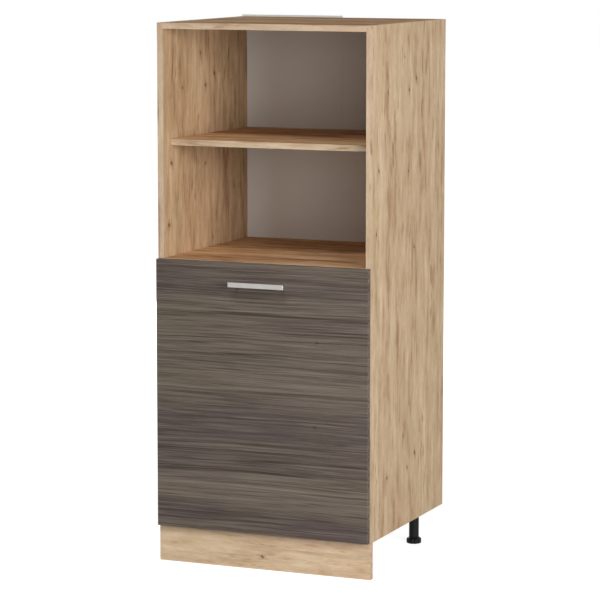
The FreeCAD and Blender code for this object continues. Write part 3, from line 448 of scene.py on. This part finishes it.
# Broad zones: height above the floor, half height
ROSY_ZONES = [(0.365, 0.085), (0.135, 0.05), (0.765, 0.045)]
PALE_ZONES = [(0.484, 0.05), (0.2, 0.055)]
ZONE_STEP = (-0.2, 1.0)
ZONE_DRIFT = ((1.7, 1.0, 3.0), 1.0, 0.5)
ZONE_DRIFT_REACH = 0.12
PALE_LIFT = 0.17
ROSY_FALL = 0.06
STRIPE_SWAY = ((2.4, 1.0, 5.0), 2.0, 0.5)
STRIPE_SWAY_REACH = 0.016
STRIPE_BANDS = ((1.8, 9.0, 15.0), 3.0, 0.5)
STRIPE_STREAKS = ((3.6, 60.0, 150.0), 5.0, 0.78)
STRIPE_FIBRES = ((16.0, 700.0, 700.0), 2.0, 0.5)
STRIPE_RUNS = ((1.8, 10.0, 60.0), 1.0, 0.5)
STRIPE_PATCHES = ((4.2, 1.0, 9.0), 1.0, 0.5)
BAND_STEP = (0.42, 0.66)
BAND_SHARE = 0.42
RUN_STEP = (0.28, 0.5)
PATCH_STEP = (0.36, 0.6)
PATCH_SPAN = (0.15, 0.95)
STREAK_SHADE = (-0.21, 2.19)
FIBRE_SHADE = (0.85, 1.15)
STRIPE_ROUGHNESS = (0.5, 0.64)
FIBRE_DEPTH = 0.0001
# Thin lines: features per metre, sharpness
LIGHT_LINES = ((0.9, 20.0, 90.0), 30.0)
LIGHT_STRENGTH = 0.4
LONG_LINES = ((0.5, 20.0, 64.0), 46.0)
LONG_STRENGTH = 0.75
FINE_LINES = ((1.2, 20.0, 130.0), 22.0)
FINE_STRENGTH = 0.5


def zoned(height, zones):
    """1 in the middle of each level zone, 0 outside all of them."""
    near = [1.0 - abs(height - middle) * (1 / half) for middle, half in zones]
    return greatest(near).step(*ZONE_STEP)


def striped(name, level):
    """Grey-brown striped decor with its grain along X, made lighter or darker by the level."""
    material, place = start(name)
    x, y, z = place.split()
    lift = z + place.swing(*STRIPE_SWAY) * STRIPE_SWAY_REACH
    grain = place.vector(x, y, lift)
    bands = grain.noise(*STRIPE_BANDS).step(*BAND_STEP)
    streaks = grain.noise(*STRIPE_STREAKS)
    fibres = grain.noise(*STRIPE_FIBRES)
    runs = grain.noise(*STRIPE_RUNS).step(*RUN_STEP)
    patches = grain.noise(*STRIPE_PATCHES).step(*PATCH_STEP)
    height = lift + place.swing(*ZONE_DRIFT) * ZONE_DRIFT_REACH
    rosy = zoned(height, ROSY_ZONES)
    pale = zoned(height, PALE_ZONES)

    rosiness = rosy * patches.span(*PATCH_SPAN) + bands * BAND_SHARE
    colour = rosiness.blend(STRIPE_GREY, STRIPE_ROSY)
    colour = colour.darkened(streaks.span(*STREAK_SHADE) + pale * PALE_LIFT - rosy * ROSY_FALL)
    light = thin_lines(grain, *LIGHT_LINES) * LIGHT_STRENGTH
    colour = light.blend(colour, LIGHT_LINE)
    long = thin_lines(grain, *LONG_LINES) * runs * LONG_STRENGTH
    colour = long.blend(colour, LONG_LINE)
    fine = thin_lines(grain, *FINE_LINES) * FINE_STRENGTH
    colour = fine.blend(colour, FINE_LINE)
    flat = place.vector(x, lift, 0.0)
    for middle in DOOR_MARKS:
        mark = spot(flat, middle, MARK_LONG, MARK_WIDE) * MARK_STRENGTH
        colour = mark.blend(colour, DOOR_MARK)
    colour = colour.darkened(fibres.span(*FIBRE_SHADE) * level)
    return finish(material, colour, fibres.span(*STRIPE_ROUGHNESS), fibres, FIBRE_DEPTH, SATIN)


# Hardboard of the back
BOARD_PAINT = (tint(217, 216, 211), tint(224, 223, 218))
BOARD_FIBRE = (tint(108, 78, 52), tint(172, 136, 99))
BOARD_SPECKS = ((900.0, 900.0, 900.0), 3.0, 0.7)
BOARD_CLOUDS = ((7.0, 7.0, 7.0), 3.0, 0.5)
BOARD_FELT = ((42.0, 42.0, 42.0), 4.0, 0.7)
BOARD_ROUGHNESS = (0.5, 0.8)
SPECK_SHADE = (0.96, 1.04)
SPECK_DEPTH = 0.00008
FELT_SHARE = 0.5
CLOUD_SHARE = 0.3
FELT_START = 0.6
# How far behind the inner face the paint starts to end, and has ended
PAINT_FROM = 0.0012
PAINT_TO = 0.0016


def hardboard(name):
    """Thin hardboard: painted towards the inside, bare brown fibre at the rear."""
    material, place = start(name)
    inner_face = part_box("back_panel_left")[0].y
    bare = place.split()[1].step(inner_face + PAINT_FROM, inner_face + PAINT_TO)
    specks = place.noise(*BOARD_SPECKS)
    clouds = place.noise(*BOARD_CLOUDS)
    felt = place.noise(*BOARD_FELT)
    painted = clouds.blend(*BOARD_PAINT)
    matted = felt * FELT_SHARE + clouds * CLOUD_SHARE + FELT_START
    fibre = specks.blend(*BOARD_FIBRE).darkened(matted)
    colour = bare.blend(painted, fibre).darkened(specks.span(*SPECK_SHADE))
    return finish(material, colour, bare.span(*BOARD_ROUGHNESS), specks, SPECK_DEPTH, SATIN)


def roughened(fine, broad, shares, middle):
    """A roughness about a middle value, changed a little by a fine and a broad noise."""
    return fine * shares[0] + broad * shares[1] + (middle - sum(shares) * NOISE_MIDDLE)


# Metal
METAL_CLOUDS = ((45.0, 45.0, 45.0), 3.0, 0.5)
EVEN_MARKS = ((400.0, 400.0, 400.0), 2.0, 0.6)
DRAWN_MARKS = ((30.0, 2600.0, 2600.0), 2.0, 0.6)
METAL_SHARES = (0.16, 0.08)
PLATED_DEPTH = 0.00002
CAST_DEPTH = 0.00006


def metal(name, light, dark, rough, texture=EVEN_MARKS, depth=PLATED_DEPTH):
    """Plated, cast or drawn metal with slight mottling and fine marks."""
    material, place = start(name)
    clouds = place.noise(*METAL_CLOUDS)
    marks = place.noise(*texture)
    colour = clouds.blend(dark, light)
    roughness = roughened(marks, clouds, METAL_SHARES, rough)
    return finish(material, colour, roughness, marks, depth, {"Metallic": 1.0})


# Plastic and rubber
SKIN = ((1600.0, 1600.0, 1600.0), 2.0, 0.5)
MOULDED_CLOUDS = ((60.0, 60.0, 25.0), 3.0, 0.5)
MOULDED_SHARES = (0.16, 0.1)
SKIN_DEPTH = 0.00005


def moulded(name, light, dark, rough):
    """Moulded plastic or rubber with a fine skin."""
    material, place = start(name)
    skin = place.noise(*SKIN)
    clouds = place.noise(*MOULDED_CLOUDS)
    colour = clouds.blend(dark, light)
    roughness = roughened(skin, clouds, MOULDED_SHARES, rough)
    return finish(material, colour, roughness, skin, SKIN_DEPTH, MATT)


# Beech of the dowels
BEECH_WOOD = (tint(196, 160, 116), tint(222, 192, 150))
BEECH_FLECK = tint(150, 110, 74)
BEECH_RINGS = ((12.0, 300.0, 300.0), 3.0, 0.5)
BEECH_FLECKS = ((160.0, 1400.0, 1400.0), 1.0, 0.5)
BEECH_FLECK_STEP = (0.6, 0.72)
BEECH_FLECKED = 0.5
BEECH_ROUGHNESS = (0.5, 0.7)
RING_DEPTH = 0.0001


def beech(name):
    """Dowel wood with fine dark flecks along X."""
    material, place = start(name)
    rings = place.noise(*BEECH_RINGS)
    flecks = place.noise(*BEECH_FLECKS).step(*BEECH_FLECK_STEP) * BEECH_FLECKED
    colour = flecks.blend(rings.blend(*BEECH_WOOD), BEECH_FLECK)
    return finish(material, colour, rings.span(*BEECH_ROUGHNESS), rings, RING_DEPTH)


oak_side = oak("oak_side", "Z", OAK_SIDE, knots=SIDE_KNOTS, inner=True)
# The level boards in the darker, redder copy of the oak, as painted shade
oak_board = oak("oak_board", "X", OAK_BOARD_PAINTED_SHADE, banded=0.6, raw=True)
# The top panel in the darker copy of the oak, as painted shade
oak_top_painted_shade = oak("oak_top_painted_shade", "X", OAK_TOP_PAINTED_SHADE, banded=0.6)
oak_plinth = oak("oak_plinth", "X", OAK_PLINTH, knots=PLINTH_KNOTS, flecked=0.34, swirl=0.22)
oak_edge_upright = oak("oak_edge_upright", "Z", OAK_EDGE)
# The upward faces of the level edging take the darker board tones, as painted shade
oak_edge_level = oak("oak_edge_level", "X", OAK_EDGE, level_stops=OAK_BOARD_PAINTED_SHADE, swirl=0.5)
striped_front = striped("striped_front", 1.0)
striped_edge = striped("striped_edge", 1.2)
back_board = hardboard("back_board")
white_strip = moulded("white_strip", tint(214, 211, 204), tint(200, 197, 189), 0.45)
black_plastic = moulded("black_plastic", tint(27, 25, 26), tint(17, 16, 16), 0.5)
soft_rubber = moulded("soft_rubber", tint(206, 204, 197), tint(186, 184, 176), 0.4)
zinc = metal("zinc", tint(176, 176, 174), tint(146, 146, 145), 0.5, depth=CAST_DEPTH)
steel = metal("steel", tint(205, 207, 210), tint(176, 178, 176), 0.36)
nickel = metal("nickel", tint(214, 209, 200), tint(190, 185, 176), 0.26)
aluminium_tints = (tint(183, 180, 177), tint(169, 166, 163))
satin_aluminium = metal("satin_aluminium", *aluminium_tints, 0.42, texture=DRAWN_MARKS)
dowel_wood = beech("dowel_wood")

FINISHES = [
    (oak_side, ["side_panel_left", "side_panel_right"]),
    (oak_top_painted_shade, ["top_panel"]),
    (oak_board, ["niche_floor", "bottom_panel", "niche_shelf", "cupboard_shelf"]),
    (oak_plinth, ["plinth_board"]),
    (striped_front, ["door_panel"]),
    (back_board, ["back_panel_left", "back_panel_right"]),
    (white_strip, ["back_joint_strip"]),
    (satin_aluminium, ["handle_bar", "handle_posts"]),
    (nickel, ["niche_shelf_pins", "cupboard_shelf_pins"]),
    (nickel, ["hinge_plates", "hinge_arms", "hinge_links", "hinge_cups"]),
    (steel, ["hinge_plate_screws", "hinge_arm_screws", "hinge_arm_pins"]),
    (steel, ["hinge_cup_pins", "hinge_cup_screws", "handle_screws"]),
    (steel, ["back_nails", "cam_bolts", "leg_socket_screws", "plinth_clip_screws"]),
    (zinc, ["cam_locks"]),
    (dowel_wood, ["dowels"]),
    (soft_rubber, ["door_bumpers"]),
    (black_plastic, ["leg_sockets", "leg_tubes", "plinth_clips"]),
    (black_plastic, ["foot_front_left", "foot_front_right", "foot_rear_left", "foot_rear_right"]),
]
for material, names in FINISHES:
    for name in names:
        for slot in nodes[name].material_slots:
            slot.material = material


def placed(name, data):
    """A new object in the scene."""
    item = bpy.data.objects.new(name, data)
    bpy.context.scene.collection.objects.link(item)
    return item


def meshed(name, shape, material):
    """A new object from a finished shape, in one material."""
    mesh = bpy.data.meshes.new(name)
    shape.to_mesh(mesh)
    shape.free()
    mesh.materials.append(material)
    return placed(name, mesh)


# Edging strips with eased outer edges
EASED = 0.0004
EASED_SEGMENTS = 3
FRONTWARD = Vector((0, -1, 0))
UP = Vector((0, 0, 1))
RIGHTWARD = Vector((1, 0, 0))


def edging(name, strips, material, body, slot, *replaced):
    """Thin strips, each with its low and high corner and the way its eased face looks."""
    shape = bmesh.new()
    for low, high, outward in strips:
        place = Matrix.Translation((low + high) / 2) @ Matrix.Diagonal((*(high - low), 1.0))
        corners = bmesh.ops.create_cube(shape, size=1.0, matrix=place)["verts"]
        reach = max(corner.co.dot(outward) for corner in corners) - EASED / 10
        outer = {corner for corner in corners if corner.co.dot(outward) > reach}
        rim = [edge for edge in shape.edges if set(edge.verts) <= outer]
        easing = {"offset": EASED, "segments": EASED_SEGMENTS, "profile": 0.5}
        bmesh.ops.bevel(shape, geom=rim, affect="EDGES", material=-1, **easing)
    piece = meshed(name, shape, material)
    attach(piece, body)
    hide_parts(*replaced)


def front_strip(panel, front):
    """The strip on the front edge of a panel."""
    low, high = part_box(panel)
    return (Vector((low.x, front, low.z)), Vector((high.x, low.y, high.z)), FRONTWARD)


carcass_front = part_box("carcass_edging")[0].y
upright_panels = ("side_panel_left", "side_panel_right")
upright_strips = [front_strip(panel, carcass_front) for panel in upright_panels]
level_panels = ("top_panel", "niche_floor", "bottom_panel")
level_strips = [front_strip(panel, carcass_front) for panel in level_panels]
edging("edging_of_sides", upright_strips, oak_edge_upright, "carcass", "oak_edging", "carcass_edging")
edging("edging_of_boards", level_strips, oak_edge_level, "carcass", "oak_edging", "carcass_edging")
for shelf in ("niche_shelf", "cupboard_shelf"):
    strip = front_strip(shelf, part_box(shelf + "_edging")[0].y)
    edging("edging_of_" + shelf, [strip], oak_edge_level, shelf, "oak_edging", shelf + "_edging")

panel_low, panel_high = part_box("door_panel")
outer_low, outer_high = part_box("door_edging")


def door_strip(left, right, bottom, top, outward):
    """A strip on one edge of the door, as deep as the door's edging."""
    low = Vector((left, outer_low.y, bottom))
    high = Vector((right, outer_high.y, top))
    return (low, high, outward)


door_strips = [
    door_strip(outer_low.x, outer_high.x, outer_low.z, panel_low.z, -UP),
    door_strip(outer_low.x, outer_high.x, panel_high.z, outer_high.z, UP),
    door_strip(outer_low.x, panel_low.x, panel_low.z, panel_high.z, -RIGHTWARD),
    door_strip(panel_high.x, outer_high.x, panel_low.z, panel_high.z, RIGHTWARD),
]
edging("edging_of_door", door_strips, striped_edge, "door", "striped_edging", "door_edging")

# Camera at the photograph's angle
CAMERA_PLACE = (2.835, -6.6835, 1.6717)
CAMERA_TURN = (math.radians(82.237), 0.0, math.radians(22.99))
LENS = 165.0
SENSOR_WIDTH = 36.0
eye = bpy.data.cameras.new("eye")
eye.sensor_width = SENSOR_WIDTH
eye.lens = LENS
camera = placed("camera", eye)
camera.location = CAMERA_PLACE
camera.rotation_euler = CAMERA_TURN
bpy.context.scene.camera = camera

# Studio lamps: place, size, power in watts
LAMPS = {
    "key_lamp": ((4.19, -3.13, 1.6), 2.0, 188.0),
    "front_lamp": ((1.0, -6.3, 7.6), 3.2, 320.0),
    "low_lamp": ((2.6, -5.15, 1.2), 2.4, 49.0),
    "rear_lamp": ((-3.2, 3.8, 0.9), 1.6, 150.0),
}
AIM = Vector((0.0, 0.0, 0.7))


def lamp(name, place, size, power):
    """A soft square lamp that looks at the middle of the part."""
    light = bpy.data.lights.new(name, "AREA")
    light.size = size
    light.energy = power
    item = placed(name, light)
    item.location = place
    item.rotation_euler = (AIM - Vector(place)).to_track_quat("-Z", "Y").to_euler()


for name, (place, size, power) in LAMPS.items():
    lamp(name, place, size, power)

# Studio backdrop and floor
AMBIENT = 0.16
FLOOR_GREY = (0.4, 0.4, 0.4, 1.0)
SHOWN_FLOOR = 0.86
FLOOR_REACH = 30.0
SHADOW_FROM = 0.5
SHADOW_TO = 1.5


def seen(paint):
    """1 for what the camera, reflections and glass see of the backdrop, 0 for the light it gives."""
    path = paint.node("ShaderNodeLightPath")
    total = path.out("Is Camera Ray") + path.out("Is Glossy Ray") + path.out("Is Transmission Ray")
    return total.node("ShaderNodeClamp", None, {0: total})


def backdrop():
    """A world that shows white and lights the part only a little."""
    world = bpy.data.worlds.new("studio")
    sky = emptied(world)
    strength = seen(sky).span(AMBIENT, 1.0)
    light = sky.node("ShaderNodeBackground", None, {"Color": WHITE, "Strength": strength})
    sky.node("ShaderNodeOutputWorld", None, {"Surface": light})
    return world


def floor_paint():
    """A pale floor: it keeps the shadow near the part, is white further out and clear from below."""
    material, place = start("studio_floor")
    lit = place.node("ShaderNodeBsdfDiffuse", None, {"Color": FLOOR_GREY})
    away = place.node("ShaderNodeVectorMath", {"operation": "LENGTH"}, {0: place}, "Value")
    paleness = away.step(SHADOW_FROM, SHADOW_TO).span(SHOWN_FLOOR, 1.0)
    glow = place.node("ShaderNodeEmission", None, {"Strength": seen(place) * paleness})
    both = place.node("ShaderNodeAddShader", None, {0: lit, 1: glow})
    below = place.node("ShaderNodeNewGeometry", None, None, "Backfacing")
    clear = place.node("ShaderNodeBsdfTransparent")
    shown = place.node("ShaderNodeMixShader", None, {0: below, 1: both, 2: clear})
    place.node("ShaderNodeOutputMaterial", None, {"Surface": shown})
    return material


bpy.context.scene.world = backdrop()
sheet = bmesh.new()
bmesh.ops.create_grid(sheet, x_segments=1, y_segments=1, size=FLOOR_REACH)
floor = meshed("floor", sheet, floor_paint())

bpy.context.scene.view_settings.view_transform = "Standard"
